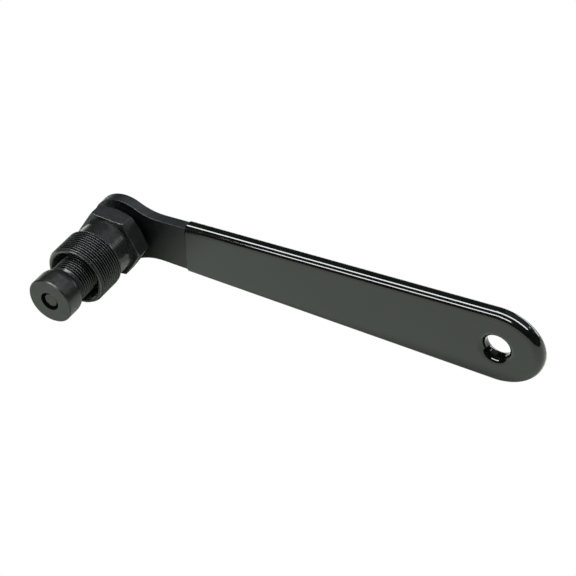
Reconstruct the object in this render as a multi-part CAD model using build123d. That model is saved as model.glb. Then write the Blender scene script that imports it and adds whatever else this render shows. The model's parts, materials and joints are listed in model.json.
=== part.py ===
from build123d import *
import os
from math import radians, sqrt, tan

# Lever-handled puller for square-taper bicycle cranks. A hollow body screws into the crank arm, a
# screw spindle with a fixed lever runs through it, and a swivelling tip on the spindle's nose bears
# on the axle.
#
# Frame, in millimetres: Y is the screw's axis and the tip points to -Y. X runs along the lever to
# its far end. Z is up, across the lever's width, so the tool lies on the lever's edge. The origin is
# on the axis, halfway along the thread that enters the crank.

# Puller body
CRANK_THREAD_R = 11.0     # M22 x 1, crest radius
CRANK_THREAD_LEN = 10.8
THREAD_CHAMFER = 0.8      # lead-in at the mouth
THREAD_RUN_OUT = 1.7      # cone from the crests to the neck
NECK_STEP = 1.1           # plain neck below the crests
NECK_LEN = 8.65           # full thread's end to the hexagon
HEX_ACROSS_FLATS = 22.0
HEX_LEN = 6.4
HEX_CLOCK = -4.3          # degrees that a corner lies above +X
HEX_CHAMFER_DEG = 30.0
HEX_BACK_INSET = 0.3      # back chamfer's circle inside the flats
HEX_FRONT_OUTSET = 0.9    # front chamfer's circle outside them, so that it only breaks the corners
RIM_WALL = 1.8            # thread crest to the recess that takes the tip
RIM_BREAK = 0.3           # broken inner edge of the mouth
BORE_CHAMFER = 0.5        # lead-ins of the spindle's bore

# Spindle
SPINDLE_R = 7.0           # M14 x 1, crest radius
SPINDLE_CHAMFER = 1.2
RUN_CLEARANCE = 0.05      # radial, for the screw in its bore and the nose in the tip
END_PLAY = 0.2            # axial play of the tip
LEVER_GAP = 2.9           # hexagon to lever, as the tool lies
TENON_WIDTH = 9.6         # square end that drives the lever
TENON_CORNER_R = 0.8
PEEN_R = 7.0              # riveted-over end on the lever's back
PEEN_HEIGHT = 1.0

# Swivelling tip
TIP_LEN = 8.35
TIP_OUT = 5.95            # body's mouth to the tip's rear, as the tool lies
TIP_CLEARANCE = 0.9       # radial, in the body's recess
TIP_FLOOR_GAP = 0.5       # left below the tip when it is drawn in flush
TIP_CHAMFER = 0.4
TIP_SHOULDER_LEN = 3.1    # rounded stretch at the rear
TIP_REAR_R = 7.1
TIP_HOLE_R = 3.4          # open centre of the front face
TIP_WEB = 3.0             # front wall that takes the thrust
THRUST_LAND = 1.3         # nose beyond the hole, bearing on the web
NIB_GAP = 1.0             # round the spindle's nib, seen in the hole
NIB_RECESS = 0.7          # nib behind the front face

# Ring that keeps the tip on the nose
RING_WIRE_R = 0.5
RING_CLEARANCE = 0.2
RING_FROM_REAR = 2.4      # tip's rear to the ring's middle
RING_OPENING_DEG = 30.0

# Lever
LEVER_THICKNESS = 4.0
LEVER_LEN = 154.2         # screw's axis to the far end
EYE_R = 12.1
LEVER_ROOT_WIDTH = 15.9   # sides produced to the screw's axis
LEVER_END_WIDTH = 25.2
LEVER_END_LEN = 14.8      # length of the elliptical end
NECK_FILLET_R = 20.5      # hollow between the eye and the sides
LEVER_EDGE_R = 0.2
HANG_HOLE_R = 5.5
HANG_HOLE_FROM_END = 14.4

# Dipped grip
GRIP_START = 26.0         # screw's axis to the grip's lip, at its upper edge
GRIP_LIP_SLANT = 0.8      # lower end of the lip nearer to the screw
GRIP_FACE_COAT = 0.8
GRIP_EDGE_COAT = 1.2
GRIP_EDGE_FLAT = 0.6      # straight strip left in the middle of the rounded edge
GRIP_HOLE_FLAT = 1.2      # straight wall left in the lined hole
GRIP_LIP_R = 0.5

# Stations along the screw's axis
Y_MOUTH = -CRANK_THREAD_LEN / 2
Y_THREAD_END = CRANK_THREAD_LEN / 2
Y_HEX = Y_THREAD_END + NECK_LEN
Y_HEX_BACK = Y_HEX + HEX_LEN
Y_LEVER = Y_HEX_BACK + LEVER_GAP
Y_LEVER_BACK = Y_LEVER + LEVER_THICKNESS
Y_TIP_REAR = Y_MOUTH - TIP_OUT
Y_TIP = Y_TIP_REAR - TIP_LEN
Y_TIP_WEB = Y_TIP + TIP_WEB
Y_RECESS = Y_MOUTH + TIP_LEN + TIP_FLOOR_GAP
Y_RING = Y_TIP_REAR - RING_FROM_REAR

# Radii that follow from the fits
NECK_R = CRANK_THREAD_R - NECK_STEP
RECESS_R = CRANK_THREAD_R - RIM_WALL
BORE_R = SPINDLE_R + RUN_CLEARANCE
TIP_R = RECESS_R - TIP_CLEARANCE
NOSE_R = TIP_HOLE_R + THRUST_LAND
SOCKET_R = NOSE_R + RUN_CLEARANCE
NIB_R = TIP_HOLE_R - NIB_GAP
RING_R = (NOSE_R + SOCKET_R) / 2
RING_GROOVE_R = RING_WIRE_R + RING_CLEARANCE

# Places along the lever
LEVER_END_X = LEVER_LEN - LEVER_END_LEN
HANG_HOLE_X = LEVER_LEN - HANG_HOLE_FROM_END
GRIP_THICKNESS = LEVER_THICKNESS + 2 * GRIP_FACE_COAT
GRIP_EDGE_R = (GRIP_THICKNESS - GRIP_EDGE_FLAT) / 2
GRIP_HOLE_R = HANG_HOLE_R - GRIP_EDGE_COAT
GRIP_HOLE_ROUND = (GRIP_THICKNESS - GRIP_HOLE_FLAT) / 2


def turned(*curves):
    """Solid turned about the screw's axis, from a closed outline in radius and y."""
    return revolve(make_face(Wire(list(curves))), Axis.Y)


def turned_polygon(*points):
    """Turned solid with straight edges only."""
    return turned(*Polyline(*points, close=True).edges())


def plate(outline, y_from, thickness):
    """Upright plate of an outline drawn in X and Z, from y_from towards the lever's back."""
    return Pos(0, y_from, 0) * extrude(Plane.XZ * outline, thickness, dir=(0, 1, 0))


def flat_faces(solid):
    """Front and back faces of a plate."""
    return solid.faces().filter_by(Axis.Y)


def tenon_outline():
    """Square that joins spindle and lever."""
    return RectangleRounded(TENON_WIDTH, TENON_WIDTH, TENON_CORNER_R)


def ring_groove(wire_r, sweep=360.0):
    """Round-wire ring, or the space for one, at the joint of nose and tip."""
    section = Pos(RING_R, Y_RING) * Circle(wire_r)
    return revolve(section, Axis.Y, sweep)


def blade_outline(x_from, edge_coat=0.0, slant=0.0):
    """Lever's widening sides from a slanted start to an elliptical end, with a coat on the edge."""
    root = LEVER_ROOT_WIDTH / 2 + edge_coat
    end_half = LEVER_END_WIDTH / 2 + edge_coat
    end_len = LEVER_END_LEN + edge_coat
    # Slope of the sides that makes them tangent to the ellipse
    a = LEVER_END_X**2 - end_len**2
    b = root * LEVER_END_X
    slope = (sqrt(b**2 - a * (root**2 - end_half**2)) - b) / a
    half_at_end = root + slope * LEVER_END_X
    tangent_x = LEVER_END_X - slope * end_len**2 / half_at_end
    tangent_half = end_half**2 / half_at_end
    x_low = x_from - slant
    sides = make_face(Polyline(
        (x_low, -root - slope * x_low),
        (tangent_x, -tangent_half),
        (tangent_x, tangent_half),
        (x_from, root + slope * x_from),
        close=True))
    return sides + Pos(LEVER_END_X, 0) * Ellipse(end_len, end_half)


def make_puller_body():
    """Hollow threaded body with a plain neck and a hexagon chamfered at its back."""
    shank = turned_polygon(
        (BORE_R, Y_RECESS + BORE_CHAMFER),
        (BORE_R + BORE_CHAMFER, Y_RECESS),
        (RECESS_R, Y_RECESS),
        (RECESS_R, Y_MOUTH + RIM_BREAK),
        (RECESS_R + RIM_BREAK, Y_MOUTH),
        (CRANK_THREAD_R - THREAD_CHAMFER, Y_MOUTH),
        (CRANK_THREAD_R, Y_MOUTH + THREAD_CHAMFER),
        (CRANK_THREAD_R, Y_THREAD_END),
        (NECK_R, Y_THREAD_END + THREAD_RUN_OUT),
        (NECK_R, Y_HEX),
        (BORE_R, Y_HEX))
    hexagon = RegularPolygon(HEX_ACROSS_FLATS / 2, 6, major_radius=False, rotation=HEX_CLOCK)
    corner_r = HEX_ACROSS_FLATS / sqrt(3)
    front_r = HEX_ACROSS_FLATS / 2 + HEX_FRONT_OUTSET
    back_r = HEX_ACROSS_FLATS / 2 - HEX_BACK_INSET
    slope = tan(radians(HEX_CHAMFER_DEG))
    blank = turned_polygon(
        (BORE_R, Y_HEX),
        (front_r, Y_HEX),
        (corner_r, Y_HEX + slope * (corner_r - front_r)),
        (corner_r, Y_HEX_BACK - slope * (corner_r - back_r)),
        (back_r, Y_HEX_BACK),
        (BORE_R + BORE_CHAMFER, Y_HEX_BACK),
        (BORE_R, Y_HEX_BACK - BORE_CHAMFER))
    head = blank & plate(hexagon, Y_HEX, HEX_LEN)
    return shank + head


def make_spindle():
    """Screw with a square tenon riveted over the lever and a grooved nose for the tip."""
    y_front = Y_TIP_REAR + END_PLAY
    y_nose = Y_TIP_WEB + END_PLAY
    screw = turned_polygon(
        (0, Y_TIP + NIB_RECESS),
        (NIB_R, Y_TIP + NIB_RECESS),
        (NIB_R, y_nose),
        (NOSE_R, y_nose),
        (NOSE_R, y_front),
        (SPINDLE_R - SPINDLE_CHAMFER, y_front),
        (SPINDLE_R, y_front + SPINDLE_CHAMFER),
        (SPINDLE_R, Y_LEVER),
        (0, Y_LEVER))
    tenon = plate(tenon_outline(), Y_LEVER, LEVER_THICKNESS)
    crown = (0, Y_LEVER_BACK + PEEN_HEIGHT)
    rim = (PEEN_R, Y_LEVER_BACK)
    foot = (0, Y_LEVER_BACK)
    peen = turned(TangentArc(crown, rim, tangent=(1, 0)), Line(rim, foot), Line(foot, crown))
    return screw + tenon + peen - ring_groove(RING_GROOVE_R)


def make_swivel_tip():
    """Thrust cap with a rounded rear, a socket for the nose and an open centre."""
    shoulder = (TIP_R, Y_TIP_REAR - TIP_SHOULDER_LEN)
    rear = (TIP_REAR_R, Y_TIP_REAR)
    face = (TIP_R - TIP_CHAMFER, Y_TIP)
    inside = Polyline(
        rear,
        (SOCKET_R, Y_TIP_REAR),
        (SOCKET_R, Y_TIP_WEB),
        (TIP_HOLE_R, Y_TIP_WEB),
        (TIP_HOLE_R, Y_TIP),
        face)
    outside = Polyline(face, (TIP_R, Y_TIP + TIP_CHAMFER), shoulder)
    cap = turned(*inside.edges(), *outside.edges(), TangentArc(shoulder, rear, tangent=(0, 1)))
    return cap - ring_groove(RING_GROOVE_R)


def make_retaining_ring():
    """Open wire ring, half in the nose's groove and half in the tip's."""
    return ring_groove(RING_WIRE_R, 360.0 - RING_OPENING_DEG)


def make_lever():
    """Stamped bar with a round eye, hollowed neck, widening sides and a hang hole."""
    outline = Circle(EYE_R) + blade_outline(0)
    corners = outline.vertices().filter_by_position(Axis.X, 0, EYE_R)
    outline = fillet(corners, NECK_FILLET_R)
    bar = plate(outline, Y_LEVER, LEVER_THICKNESS)
    rims = [edge for face in flat_faces(bar) for edge in face.outer_wire().edges()]
    bar = fillet(rims, LEVER_EDGE_R)
    holes = tenon_outline() + Pos(HANG_HOLE_X, 0) * Circle(HANG_HOLE_R)
    return bar - plate(holes, Y_LEVER, LEVER_THICKNESS)


def make_grip(lever):
    """Dipped coat with fully rounded edges, an open lip round the lever and a lined hang hole."""
    outline = blade_outline(GRIP_START, GRIP_EDGE_COAT, GRIP_LIP_SLANT)
    outline -= Pos(HANG_HOLE_X, 0) * Circle(GRIP_HOLE_R)
    coat = plate(outline, Y_LEVER - GRIP_FACE_COAT, GRIP_THICKNESS)
    rims = [edge for face in flat_faces(coat) for edge in face.outer_wire().edges()]
    coat = fillet([edge for edge in rims if edge.center().X > GRIP_START + GRIP_LIP_R], GRIP_EDGE_R)
    hole_wires = [wire for face in flat_faces(coat) for wire in face.inner_wires()]
    coat = fillet([edge for wire in hole_wires for edge in wire.edges()], GRIP_HOLE_ROUND)
    lip = coat.faces().sort_by(Axis.X)[0]
    coat = fillet(lip.outer_wire().edges(), GRIP_LIP_R)
    return coat - lever


def build():
    """All pieces by node name."""
    lever = make_lever()
    return {
        "puller_body": make_puller_body(),
        "spindle": make_spindle(),
        "swivel_tip": make_swivel_tip(),
        "retaining_ring": make_retaining_ring(),
        "lever": lever,
        "grip": make_grip(lever),
    }


os.makedirs("parts", exist_ok=True)
for node, shape in build().items():
    export_step(shape, f"parts/{node}.step")
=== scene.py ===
"""Looks of a lever-handled crank puller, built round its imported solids."""
import json
import math

import bmesh
import bpy
from mathutils import Matrix, Vector

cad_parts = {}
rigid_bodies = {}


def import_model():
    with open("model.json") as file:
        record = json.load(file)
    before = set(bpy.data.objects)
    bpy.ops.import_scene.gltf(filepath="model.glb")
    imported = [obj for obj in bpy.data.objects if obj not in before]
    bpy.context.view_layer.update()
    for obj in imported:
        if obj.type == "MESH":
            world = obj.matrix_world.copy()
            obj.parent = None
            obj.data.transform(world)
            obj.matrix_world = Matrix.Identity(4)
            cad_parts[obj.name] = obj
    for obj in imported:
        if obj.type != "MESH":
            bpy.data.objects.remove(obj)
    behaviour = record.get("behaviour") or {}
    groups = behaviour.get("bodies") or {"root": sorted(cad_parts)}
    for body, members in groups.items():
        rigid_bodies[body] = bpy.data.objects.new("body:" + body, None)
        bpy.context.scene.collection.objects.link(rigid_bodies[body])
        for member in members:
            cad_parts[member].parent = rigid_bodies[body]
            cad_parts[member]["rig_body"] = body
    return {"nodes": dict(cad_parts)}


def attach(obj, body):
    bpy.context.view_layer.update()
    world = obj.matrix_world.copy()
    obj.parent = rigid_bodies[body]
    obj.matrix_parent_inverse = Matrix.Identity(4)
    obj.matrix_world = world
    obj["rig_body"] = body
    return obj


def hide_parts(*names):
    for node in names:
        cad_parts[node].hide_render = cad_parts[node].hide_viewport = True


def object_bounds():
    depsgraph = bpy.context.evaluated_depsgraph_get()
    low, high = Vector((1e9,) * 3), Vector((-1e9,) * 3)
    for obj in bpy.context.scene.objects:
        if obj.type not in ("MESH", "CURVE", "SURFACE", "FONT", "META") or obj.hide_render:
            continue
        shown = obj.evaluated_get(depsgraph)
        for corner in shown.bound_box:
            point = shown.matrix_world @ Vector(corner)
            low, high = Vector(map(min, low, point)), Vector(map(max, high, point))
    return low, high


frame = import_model()
nodes = frame["nodes"]
cad_low, cad_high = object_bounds()

MM = 0.001
TURN = 2 * math.pi

# Sizes in millimetres, mostly the solids' own. Y is the screw's axis.

# Puller body
CRANK_THREAD_R = 11.0
THREAD_CHAMFER = 0.8
THREAD_RUN_OUT = 1.7
NECK_R = 9.9
NECK_ROOT = ((0, 0.1), (0.03, 0.03), (0.1, 0))   # out from the neck, short of the hexagon
RECESS_R = 9.2
RIM_BREAK = 0.3
BORE_R = 7.05
BORE_CHAMFER = 0.5
Y_MOUTH = -5.4
Y_RECESS = 3.45
Y_THREAD_END = 5.4
Y_HEX = 14.05
Y_HEX_BACK = 20.45

# Hexagon
HEX_SIDE = 60            # degrees
HEX_ACROSS_FLATS = 22.0
HEX_CLOCK = math.radians(-4.3)
HEX_CHAMFER = math.radians(30)
HEX_FRONT_R = 11.9       # circles where its front and back chamfers start
HEX_BACK_R = 10.7
HEX_CORNER_R = 12.66
HEX_EDGE_R = 0.2
HEX_FACE_MARGIN = 0.05   # flat face's rim to the rounded edge
HEX_BACK_BREAK = 0.1     # length of the broken edges at the back
HEX_BACK_INSET = 0.12
HEX_STEPS = (0.0, 0.7, *(2.5 * i for i in range(1, 24)), 59.3)   # degrees from a corner

# Spindle
SPINDLE_SIDES = 96
SPINDLE_R = 7.0
SPINDLE_CHAMFER = 1.2
Y_SPINDLE = -11.15
Y_NOSE = -16.5
Y_NIB = -19.0
NIB_R = 2.4
NIB_EDGE_R = 0.2
NOSE_R = 4.7
Y_RING = -13.75
RING_R = 4.725
RING_GROOVE_R = 0.7
RING_GROOVE_STEPS = 8
Y_LEVER = 23.35
Y_LEVER_BACK = 27.35
TENON_WIDTH = 9.6
TENON_CORNER_R = 0.8
PEEN_R = 7.0
PEEN_HEIGHT = 1.0
PEEN_ROWS = (1.0, 0.97, 0.9, 0.78, 0.6, 0.4, 0.2)   # shares of its radius

# Threads
PITCH = 1.0
FLANK = math.radians(60)   # a flank's slope against the axis
CREST_R = 0.17
ROOT_R = 0.085
CREST_STEPS = 3            # steps of each round, from its middle to a flank
ROOT_STEPS = 2
SPARE_TURNS = 3            # so that a helix reaches past both its rings at every angle
FADE_LEN = 1.2             # groove's rise to the surface at the spindle's shoulder
FADE_GAP = 0.3             # share of that length left plain
CRANK_CREST_Y = 0.65       # a crest of each thread on the +X side
SPINDLE_CREST_Y = 0.13
CREST = "crest"            # attribute: share of a thread's height that a point has

QUARTER = [math.radians(turn) for turn in (0, 30, 60, 90)]   # steps round an edge
SHARP_ANGLE = math.radians(38)
TURNED, THREADS, MILLED, INSIDE, SHADED_FACE, EDGES = range(6)     # finishes of a lathe's faces


def thread_profile():
    """One pitch of a 60 degree thread with round crest and root: places along it and depths."""
    flank = PITCH / 2 - (CREST_R + ROOT_R) * math.sin(FLANK)
    depth = (CREST_R + ROOT_R) * (1 - math.cos(FLANK)) + flank * math.tan(FLANK)
    crest = [FLANK * i / CREST_STEPS for i in range(-CREST_STEPS, CREST_STEPS + 1)]
    root = [FLANK * i / ROOT_STEPS for i in range(-ROOT_STEPS, ROOT_STEPS + 1)]
    points = [(CREST_R * math.sin(a), CREST_R * (1 - math.cos(a))) for a in crest]
    points += [(PITCH / 2 + ROOT_R * math.sin(a), depth - ROOT_R * (1 - math.cos(a))) for a in root]
    return points


def show(obj):
    """Link a new object to the scene."""
    bpy.context.scene.collection.objects.link(obj)
    return obj


class Lathe:
    """Mesh of rows round the screw's axis, in millimetres, with threads cut as helices."""

    def __init__(self, angles):
        self.bm = bmesh.new()
        self.crest = self.bm.verts.layers.float.new(CREST)
        self.angles = angles
        self.count = len(angles)

    def vert(self, angle, r, y):
        return self.bm.verts.new((r * math.cos(angle), y, r * math.sin(angle)))

    def row(self, radius, y):
        """Ring of points; radius and y are numbers or functions of the angle."""
        r_at = radius if callable(radius) else lambda a: radius
        y_at = y if callable(y) else lambda a: y
        return [self.vert(a, r_at(a), y_at(a)) for a in self.angles]

    def pole(self, y):
        """Row of a single point on the axis."""
        return [self.vert(0.0, 0.0, y)]

    def face(self, corners, finish):
        """Face without the corners that fall together, if one is left."""
        unique = list(dict.fromkeys(corners))
        if len(unique) > 2:
            self.bm.faces.new(unique).material_index = finish

    def skin(self, *rows, finish=TURNED):
        """Faces between each row and the next."""
        for a, b in zip(rows, rows[1:]):
            for k in range(self.count):
                n = (k + 1) % self.count
                self.face([a[k % len(a)], b[k % len(b)], b[n % len(b)], a[n % len(a)]], finish)

    def thread(self, rings, span, crest_y, radius_at, lead_in=0.0, lead_finish=THREADS):
        """Right-hand helix between two rings, which lie at the span's two y.

        radius_at takes the depth of the cut and y. The cone at the start, lead_in long, can have
        another finish.
        """
        first, last = rings
        y_from, y_to = span
        profile = thread_profile()
        deepest = max(depth for _, depth in profile)
        samples = len(profile)
        turns = math.ceil((y_to - y_from) / PITCH) + SPARE_TURNS
        start = math.floor((y_from - crest_y) / PITCH + self.angles[0] / TURN) - 1
        cone = set(first)
        columns = []
        for k, angle in enumerate(self.angles):
            column = []
            for i in range(turns * samples):
                place, depth = profile[i % samples]
                y = crest_y + place + PITCH * (start + i // samples - angle / TURN)
                if y <= y_from:
                    column.append(first[k])
                elif y >= y_to:
                    column.append(last[k])
                else:
                    cut, uncut = radius_at(depth, y), radius_at(0.0, y)
                    point = self.vert(angle, cut, y)
                    # this share is the mask of the threads' painted shade in the groove and painted
                    # highlight on the crest
                    point[self.crest] = 1 - (uncut - cut) / deepest
                    if cut == uncut and y < y_from + lead_in:
                        cone.add(point)
                    column.append(point)
            columns.append(column)
        # The last column meets the first one a pitch further on
        columns.append([first[0]] * samples + columns[0])
        for left, right in zip(columns, columns[1:]):
            for i in range(turns * samples - 1):
                corners = [left[i], left[i + 1], right[i + 1], right[i]]
                self.face(corners, lead_finish if cone.issuperset(corners) else THREADS)

    def piece(self, name, node, *finishes):
        """Finish the mesh as an object that stands for a node and moves with its body."""
        bmesh.ops.recalc_face_normals(self.bm, faces=self.bm.faces)
        mesh = bpy.data.meshes.new(name)
        self.bm.to_mesh(mesh)
        self.bm.free()
        mesh.shade_smooth()
        mesh.set_sharp_from_angle(angle=SHARP_ANGLE)
        for finish in finishes:
            mesh.materials.append(finish)
        obj = show(bpy.data.objects.new(name, mesh))
        # Broad faces keep their own normals; the modifier needs the millimetres for that
        normals = obj.modifiers.new("face_normals", "WEIGHTED_NORMAL")
        normals.keep_sharp = True
        depsgraph = bpy.context.evaluated_depsgraph_get()
        obj.data = bpy.data.meshes.new_from_object(obj.evaluated_get(depsgraph))
        obj.modifiers.clear()
        obj.data.transform(Matrix.Scale(MM, 4))
        obj.data.name = name
        bpy.data.meshes.remove(mesh)
        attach(obj, nodes[node]["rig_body"])
        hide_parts(node)


def hexagon_angles():
    """Angles round the hexagon, closer together at its corners."""
    corners = range(0, 360, HEX_SIDE)
    return [HEX_CLOCK + math.radians(corner + step) for corner in corners for step in HEX_STEPS]


def hexagon_radius(angle):
    """Distance from the axis to the hexagon's flats and its blunted corners."""
    side = math.radians(HEX_SIDE)
    flat = HEX_ACROSS_FLATS / 2 / math.cos((angle - HEX_CLOCK) % side - side / 2)
    return min(flat, HEX_CORNER_R)


def tenon_radius(angle):
    """Distance from the axis to the tenon's rounded square."""
    a = abs((angle + math.pi / 4) % (math.pi / 2) - math.pi / 4)
    half = TENON_WIDTH / 2
    inner = half - TENON_CORNER_R
    if half * math.tan(a) <= inner:
        return half / math.cos(a)
    along = inner * (math.cos(a) + math.sin(a))
    return along + math.sqrt(TENON_CORNER_R**2 - 2 * inner**2 + along**2)


def make_body(turned, threads, milled, inside, shaded_face, edges):
    """Hollow body with its crank thread, plain neck and hexagon."""
    lathe = Lathe(hexagon_angles())
    slope = math.tan(HEX_CHAMFER)
    run_out = CRANK_THREAD_R - NECK_R

    def thread_radius(depth, y):
        cut = CRANK_THREAD_R - depth
        lead_in = CRANK_THREAD_R - THREAD_CHAMFER + y - Y_MOUTH
        lead_out = CRANK_THREAD_R - (y - Y_THREAD_END) * run_out / THREAD_RUN_OUT
        return min(cut, lead_in, lead_out)

    def hexagon_row(inset, y_at_radius):
        """Row at an inset from the flats, at the y that its radius has there."""
        return lathe.row(
            lambda a: hexagon_radius(a) - inset, lambda a: y_at_radius(hexagon_radius(a) - inset))

    def front(r):
        return Y_HEX + max(0.0, r - HEX_FRONT_R) * slope

    def back(r):
        return Y_HEX_BACK - max(0.0, r - HEX_BACK_R) * slope

    def face_radius(a):
        return min(HEX_FRONT_R, hexagon_radius(a) - HEX_EDGE_R - HEX_FACE_MARGIN)

    # Thread and neck
    y_neck = Y_THREAD_END + THREAD_RUN_OUT
    mouth = lathe.row(CRANK_THREAD_R - THREAD_CHAMFER, Y_MOUTH)
    neck = lathe.row(NECK_R, y_neck)
    # the thread's lead-in cone takes the lighter edge finish, partly edge wear and partly painted
    # highlight
    lathe.thread(
        (mouth, neck), (Y_MOUTH, y_neck), CRANK_CREST_Y, thread_radius, THREAD_CHAMFER, EDGES)
    root = [lathe.row(NECK_R + out, Y_HEX - gap) for out, gap in NECK_ROOT]
    face = lathe.row(face_radius, Y_HEX)
    edge = []
    for a in QUARTER:
        rise = HEX_EDGE_R * (1 - math.cos(a))
        inset = HEX_EDGE_R * (1 - math.sin(a))
        edge.append(hexagon_row(inset, lambda r, rise=rise: front(r) + rise))
    bore = lathe.row(BORE_R, Y_RECESS + BORE_CHAMFER)
    rim = lathe.row(RECESS_R, Y_MOUTH + RIM_BREAK)
    lathe.skin(neck, root[0])

    # Hexagon, from its front face over its edges to its back and on to the bore
    back_out = HEX_BACK_R + HEX_BACK_BREAK
    back_in = HEX_BACK_R - HEX_BACK_BREAK
    # painted shade: the neck's root and the hexagon's front face take the darker, duller tip
    # finish, for the shade between neck and hexagon
    lathe.skin(*root, face, finish=SHADED_FACE)
    lathe.skin(
        face, *edge,
        hexagon_row(0, lambda r: back(r) - HEX_BACK_BREAK),
        hexagon_row(HEX_BACK_INSET, back),
        lathe.row(back_out, back(back_out)),
        lathe.row(back_in, Y_HEX_BACK),
        lathe.row(BORE_R + BORE_CHAMFER, Y_HEX_BACK),
        lathe.row(BORE_R, Y_HEX_BACK - BORE_CHAMFER),
        bore, finish=MILLED)

    # Recess that takes the tip, and the mouth's rim
    # the recess and bore wear the light grey finish that paints light inside them
    lathe.skin(
        bore, lathe.row(BORE_R + BORE_CHAMFER, Y_RECESS), lathe.row(RECESS_R, Y_RECESS), rim,
        finish=INSIDE)
    lathe.skin(rim, lathe.row(RECESS_R + RIM_BREAK, Y_MOUTH), mouth)
    lathe.piece(
        "puller_body_threaded", "puller_body", turned, threads, milled, inside, shaded_face, edges)


def make_spindle(turned, threads):
    """Screw with its nib and grooved nose, square tenon and riveted end."""
    lathe = Lathe([TURN * k / SPINDLE_SIDES for k in range(SPINDLE_SIDES)])

    def thread_radius(depth, y):
        fade = min(1.0, max(0.0, (Y_LEVER - y) / FADE_LEN - FADE_GAP))
        lead_in = SPINDLE_R - SPINDLE_CHAMFER + y - Y_SPINDLE
        return min(SPINDLE_R - depth * fade, lead_in)

    # Screw
    front = lathe.row(SPINDLE_R - SPINDLE_CHAMFER, Y_SPINDLE)
    shoulder = lathe.row(SPINDLE_R, Y_LEVER)
    lathe.thread((front, shoulder), (Y_SPINDLE, Y_LEVER), SPINDLE_CREST_Y, thread_radius)

    # Nib and nose with the ring's groove
    half = math.acos((NOSE_R - RING_R) / RING_GROOVE_R)
    groove = []
    for i in range(RING_GROOVE_STEPS + 1):
        a = half + (TURN - 2 * half) * i / RING_GROOVE_STEPS
        groove.append(lathe.row(
            RING_R + RING_GROOVE_R * math.cos(a), Y_RING - RING_GROOVE_R * math.sin(a)))
    nib = [
        lathe.row(NIB_R - NIB_EDGE_R * (1 - math.sin(a)), Y_NIB + NIB_EDGE_R * (1 - math.cos(a)))
        for a in QUARTER]
    lathe.skin(
        lathe.pole(Y_NIB), *nib, lathe.row(NIB_R, Y_NOSE), lathe.row(NOSE_R, Y_NOSE), *groove,
        lathe.row(NOSE_R, Y_SPINDLE), front)

    # Tenon and riveted end
    peen_sphere_r = (PEEN_R**2 + PEEN_HEIGHT**2) / (2 * PEEN_HEIGHT)
    dome = []
    for share in PEEN_ROWS:
        r = PEEN_R * share
        rise = math.sqrt(peen_sphere_r**2 - r**2) - (peen_sphere_r - PEEN_HEIGHT)
        dome.append(lathe.row(r, Y_LEVER_BACK + rise))
    lathe.skin(
        shoulder, lathe.row(tenon_radius, Y_LEVER), lathe.row(tenon_radius, Y_LEVER_BACK), *dome,
        lathe.pole(Y_LEVER_BACK + PEEN_HEIGHT))
    lathe.piece("spindle_threaded", "spindle", turned, threads)


def add_node(tree, kind, settings=None, **inputs):
    """New node; inputs are values or sockets, by the socket's name or, as in i0, its number."""
    made = tree.nodes.new(kind)
    for key, value in (settings or {}).items():
        setattr(made, key, value)
    for key, value in inputs.items():
        socket = made.inputs[int(key[1:]) if key[0] == "i" and key[1:].isdigit() else key]
        if isinstance(value, bpy.types.NodeSocket):
            tree.links.new(value, socket)
        else:
            socket.default_value = value
    return made


class Surface:
    """Procedural material with its shader and a few node shortcuts. Scales are per metre."""

    def __init__(self, name, **constants):
        self.material = bpy.data.materials.new(name)
        self.material.use_nodes = True
        self.tree = self.material.node_tree
        self.shader = self.tree.nodes["Principled BSDF"]
        self.place = self.node("ShaderNodeTexCoord").outputs["Object"]
        for key, value in constants.items():
            self.shader.inputs[key].default_value = value

    def node(self, kind, settings=None, **inputs):
        return add_node(self.tree, kind, settings, **inputs)

    def link(self, socket, name):
        self.tree.links.new(socket, self.shader.inputs[name])

    def noise(self, scale, detail=3.0, roughness=0.55, place=None):
        made = self.node(
            "ShaderNodeTexNoise", Vector=place or self.place, Scale=scale, Detail=detail,
            Roughness=roughness)
        return made.outputs["Fac"]

    def spread(self, factor, low, high, start=0.3, end=0.7):
        """Number that runs from low to high while a factor runs from start to end."""
        keys = {"From Min": start, "From Max": end, "To Min": low, "To Max": high}
        return self.node("ShaderNodeMapRange", Value=factor, **keys).outputs["Result"]

    def blend(self, factor, first, second):
        """Colour between two, set as the base colour."""
        colours = {"i6": (*first, 1), "i7": (*second, 1)}
        made = self.node("ShaderNodeMix", {"data_type": "RGBA"}, i0=factor, **colours)
        self.link(made.outputs[2], "Base Color")

    def cloud(self, dark, light, scale, detail=3.0):
        """Base colour that drifts between two tones."""
        self.blend(self.spread(self.noise(scale, detail), 0, 1), dark, light)

    def gloss(self, rough, scale):
        """Roughness that drifts between two values."""
        self.link(self.spread(self.noise(scale), *rough), "Roughness")

    def bump(self, height, depth_mm, strength, under=None):
        """Normal of a relief, on top of another relief's normal."""
        below = {"Normal": under} if under else {}
        made = self.node(
            "ShaderNodeBump", Height=height, Distance=depth_mm * MM, Strength=strength, **below)
        return made.outputs["Normal"]

    def turned_place(self, scale):
        """Coordinates of radius and height, so that marks run round the screw's axis."""
        apart = self.node("ShaderNodeSeparateXYZ", Vector=self.place).outputs
        flat = self.node("ShaderNodeCombineXYZ", X=apart["X"], Y=apart["Z"]).outputs[0]
        radius = self.node("ShaderNodeVectorMath", {"operation": "LENGTH"}, i0=flat)
        place = self.node(
            "ShaderNodeCombineXYZ", X=radius.outputs["Value"], Y=apart["Y"]).outputs[0]
        made = self.node("ShaderNodeVectorMath", {"operation": "SCALE"}, i0=place, Scale=scale)
        return made.outputs["Vector"]


def oxide_steel(name, dark, light, rough, ior):
    """Satin black oxide on turned steel, with fine marks round the axis."""
    s = Surface(name, IOR=ior)
    s.cloud(dark, light, scale=240, detail=4)
    s.gloss(rough, scale=900)
    marks = s.noise(1.0, detail=2, roughness=0.6, place=s.turned_place(9000))
    grain = s.noise(7000, detail=2)
    turned = s.bump(marks, depth_mm=0.004, strength=0.4)
    s.link(s.bump(grain, depth_mm=0.004, strength=0.15, under=turned), "Normal")
    return s.material


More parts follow.
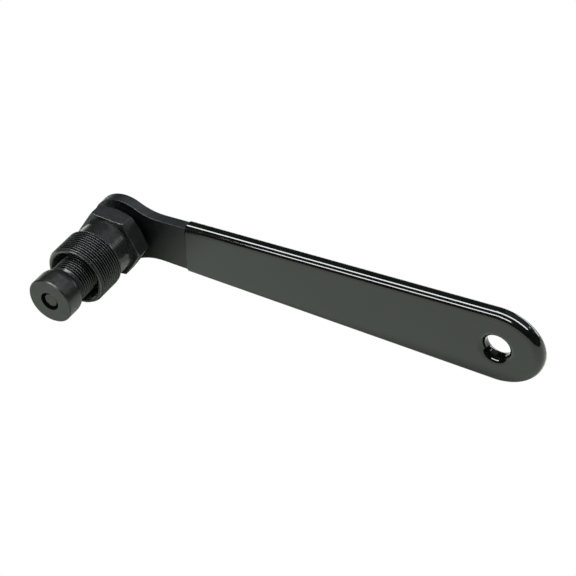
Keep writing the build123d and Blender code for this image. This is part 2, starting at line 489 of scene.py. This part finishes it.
def thread_finish(name, groove, crest, rough, ior):
    """Black oxide on a thread: painted shade darkens its groove, a painted highlight lightens its
    crest.
    """
    s = Surface(name, IOR=ior)
    height = s.node("ShaderNodeAttribute", {"attribute_name": CREST}).outputs["Fac"]
    # painted shade and highlight: the share of the thread's height blends the dark groove colour
    # into the light crest colour
    crest_highlight = s.spread(height, 0, 1, start=0.6, end=0.95)
    patchy = s.spread(s.noise(500), 0.75, 1.0)
    shade_to_highlight = s.node("ShaderNodeMath", {"operation": "MULTIPLY"}, i0=crest_highlight, i1=patchy)
    s.blend(shade_to_highlight.outputs[0], groove, crest)
    s.gloss(rough, scale=900)
    s.link(s.bump(s.noise(7000, detail=2), depth_mm=0.004, strength=0.15), "Normal")
    return s.material


def plate_steel(name, dark, light, rough, ior):
    """Satin black finish on a stamped plate."""
    s = Surface(name, IOR=ior)
    s.cloud(dark, light, scale=160, detail=4)
    s.gloss(rough, scale=700)
    s.link(s.bump(s.noise(5000), depth_mm=0.005, strength=0.25), "Normal")
    return s.material


def dipped_vinyl(name, dark, light, rough, ior):
    """Gloss vinyl that set after dipping, with a faint unevenness."""
    s = Surface(name, IOR=ior)
    s.cloud(dark, light, scale=120)
    s.gloss(rough, scale=400)
    waves = s.noise(45, detail=1, roughness=0.4)
    peel = s.noise(1400, detail=2)
    uneven = s.bump(waves, depth_mm=0.06, strength=0.6)
    s.link(s.bump(peel, depth_mm=0.002, strength=0.5, under=uneven), "Normal")
    return s.material


def drawn_wire(name, dark, light, rough):
    """Bright drawn spring wire."""
    s = Surface(name, Metallic=1.0)
    s.blend(s.noise(600), dark, light)
    s.gloss(rough, scale=2500)
    return s.material


def paint(node, material):
    """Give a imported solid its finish."""
    nodes[node].data.materials.clear()
    nodes[node].data.materials.append(material)


steel = oxide_steel(
    "black_oxide_steel", dark=(0.003, 0.0033, 0.0033), light=(0.005, 0.0054, 0.0054),
    rough=(0.22, 0.28), ior=1.6)
# painted shade in the thread grooves and painted highlight along the crests
thread_steel = thread_finish(
    "thread_steel", groove=(0.0004, 0.0005, 0.0005), crest=(0.018, 0.0194, 0.0194),
    rough=(0.16, 0.22), ior=1.35)
# the tip's finish also stands as painted shade on the hexagon's front face
tip_steel = oxide_steel(
    "tip_steel", dark=(0.0015, 0.0017, 0.0016), light=(0.003, 0.0033, 0.0031),
    rough=(0.30, 0.40), ior=1.46)
hex_steel = oxide_steel(
    "hex_steel", dark=(0.003, 0.0033, 0.0035), light=(0.005, 0.0055, 0.0058),
    rough=(0.27, 0.34), ior=1.58)
# painted light: the recess gets a light grey in place of the black oxide, standing in for light on
# its inner wall
recess_painted_light = oxide_steel(
    "recess_painted_light", dark=(0.11, 0.12, 0.13), light=(0.15, 0.16, 0.175),
    rough=(0.5, 0.6), ior=1.5)
# lead-in chamfers: a lighter base, partly edge wear and partly a painted highlight for the glint
# there
edge_wear_and_glint = oxide_steel(
    "edge_wear_and_glint", dark=(0.006, 0.0064, 0.0064), light=(0.012, 0.0128, 0.0128),
    rough=(0.28, 0.34), ior=1.7)
lever_finish = plate_steel(
    "lever_finish", dark=(0.0006, 0.0012, 0.0017), light=(0.0016, 0.0023, 0.003),
    rough=(0.36, 0.43), ior=1.43)
vinyl = dipped_vinyl(
    "black_vinyl", dark=(0.0015, 0.0016, 0.0016), light=(0.003, 0.0031, 0.003),
    rough=(0.07, 0.10), ior=1.5)
wire = drawn_wire(
    "drawn_wire", dark=(0.36, 0.36, 0.37), light=(0.5, 0.5, 0.5), rough=(0.2, 0.34))

make_body(steel, thread_steel, hex_steel, recess_painted_light, tip_steel, edge_wear_and_glint)
make_spindle(tip_steel, thread_steel)
paint("swivel_tip", tip_steel)
paint("lever", lever_finish)
paint("grip", vinyl)
paint("retaining_ring", wire)


# Studio: lights, a pale floor and a room that the camera sees as white. Metres from here on.
LIT_POINT = Vector((0.07, 0.01, 0.0))
FLOOR_HALF = 6.0
FLOOR_COLOUR = (0.395, 0.412, 0.366, 1)
FLOOR_GLOW = (0.95, 1, 0.88, 1)
FLOOR_GLOW_STRENGTH = 0.06
ROOM_COLOUR = (0.02, 0.02, 0.021, 1)
ROOM_BELOW = (0.7, 0.73, 0.65, 1)   # as pale as the lit floor looks
WHITE = (1, 1, 1, 1)


def put(obj, place, x, y, z):
    """Put an object at a place, with its axes along three directions."""
    matrix = Matrix((x, y, z)).transposed().to_4x4()
    matrix.translation = place
    obj.matrix_world = matrix


def softbox(name, centre, size, radiance, colour):
    """Area light that faces the tool, wide along X; radiance is what its face shows."""
    light = bpy.data.lights.new(name, "AREA")
    light.shape = "RECTANGLE"
    light.size, light.size_y = size
    light.energy = radiance * math.pi * size[0] * size[1]
    light.color = colour
    centre = Vector(centre)
    away = (centre - LIT_POINT).normalized()
    across = Vector((1, 0, 0))
    across = (across - across.dot(away) * away).normalized()
    put(show(bpy.data.objects.new(name, light)), centre, across, away.cross(across), away)


def empty_tree(owner):
    """Node tree of a material or world, cleared."""
    owner.use_nodes = True
    owner.node_tree.nodes.clear()
    return owner.node_tree


softbox("overhead_softbox", (0.15, 0.13, 1.05), (1.9, 0.30), 22.0, (0.94, 1.0, 1.0))
softbox("front_softbox", (-0.155, -0.87, 0.82), (0.85, 0.22), 22.0, (0.96, 1.0, 0.98))
softbox("back_panel", (0.5, 1.05, 1.08), (1.3, 0.9), 0.24, (0.82, 1.0, 1.06))
softbox("back_bar", (1.1, 1.0, 0.68), (0.4, 0.08), 5.0, (0.88, 1.0, 1.0))
softbox("low_panel", (0.56, 1.5, 0.17), (1.1, 0.34), 7.0, (0.96, 1.0, 1.0))

# The floor is open from below, so that a lever turned down past it stays lit and in sight
floor_surface = bpy.data.materials.new("pale_floor")
tree = empty_tree(floor_surface)
matte = add_node(tree, "ShaderNodeBsdfDiffuse", Color=FLOOR_COLOUR)
glow = add_node(tree, "ShaderNodeEmission", Color=FLOOR_GLOW, Strength=FLOOR_GLOW_STRENGTH)
above = add_node(tree, "ShaderNodeAddShader", i0=matte.outputs[0], i1=glow.outputs[0])
below = add_node(tree, "ShaderNodeBsdfTransparent")
side = add_node(tree, "ShaderNodeNewGeometry").outputs["Backfacing"]
both = add_node(tree, "ShaderNodeMixShader", i0=side, i1=above.outputs[0], i2=below.outputs[0])
add_node(tree, "ShaderNodeOutputMaterial", Surface=both.outputs[0])

floor_mesh = bpy.data.meshes.new("floor")
corners = [(x * FLOOR_HALF, y * FLOOR_HALF, 0) for x, y in ((-1, -1), (1, -1), (1, 1), (-1, 1))]
floor_mesh.from_pydata(corners, [], [(0, 1, 2, 3)])
floor_mesh.materials.append(floor_surface)
floor = show(bpy.data.objects.new("floor", floor_mesh))
floor.location.z = cad_low.z
floor.visible_camera = False

# The room is dark above the floor and pale below it
world = bpy.data.worlds.new("studio")
bpy.context.scene.world = world
tree = empty_tree(world)
way = add_node(tree, "ShaderNodeTexCoord").outputs["Generated"]
height = add_node(tree, "ShaderNodeSeparateXYZ", Vector=way).outputs["Z"]
down = add_node(tree, "ShaderNodeMath", {"operation": "LESS_THAN"}, i0=height, i1=0.0)
halves = add_node(
    tree, "ShaderNodeMix", {"data_type": "RGBA"}, i0=down.outputs[0], i6=ROOM_COLOUR, i7=ROOM_BELOW)
room = add_node(tree, "ShaderNodeBackground", Color=halves.outputs[2])
backdrop = add_node(tree, "ShaderNodeBackground", Color=WHITE)
seen = add_node(tree, "ShaderNodeLightPath").outputs["Is Camera Ray"]
both = add_node(tree, "ShaderNodeMixShader", i0=seen, i1=room.outputs[0], i2=backdrop.outputs[0])
add_node(tree, "ShaderNodeOutputWorld", Surface=both.outputs[0])

# Camera fitted to the photograph
AZIMUTH = math.radians(33.012)
ELEVATION = math.radians(38.962)
ROLL = math.radians(-4.521)
CAMERA_PLACE = Vector((313.76, -359.58, 366.49)) * MM
right = Vector((math.cos(AZIMUTH), math.sin(AZIMUTH), 0))
back = Vector((
    math.sin(AZIMUTH) * math.cos(ELEVATION),
    -math.cos(AZIMUTH) * math.cos(ELEVATION),
    math.sin(ELEVATION)))
up = back.cross(right)
camera_x = math.cos(ROLL) * right + math.sin(ROLL) * up
camera_y = math.cos(ROLL) * up - math.sin(ROLL) * right
camera = show(bpy.data.objects.new("camera", bpy.data.cameras.new("camera")))
camera.data.sensor_width = 36.0
camera.data.lens = 112.0
camera.data.clip_start = 0.02
camera.data.clip_end = 50.0
put(camera, CAMERA_PLACE, camera_x, camera_y, back)
bpy.context.scene.camera = camera
bpy.context.scene.view_settings.view_transform = "Standard"
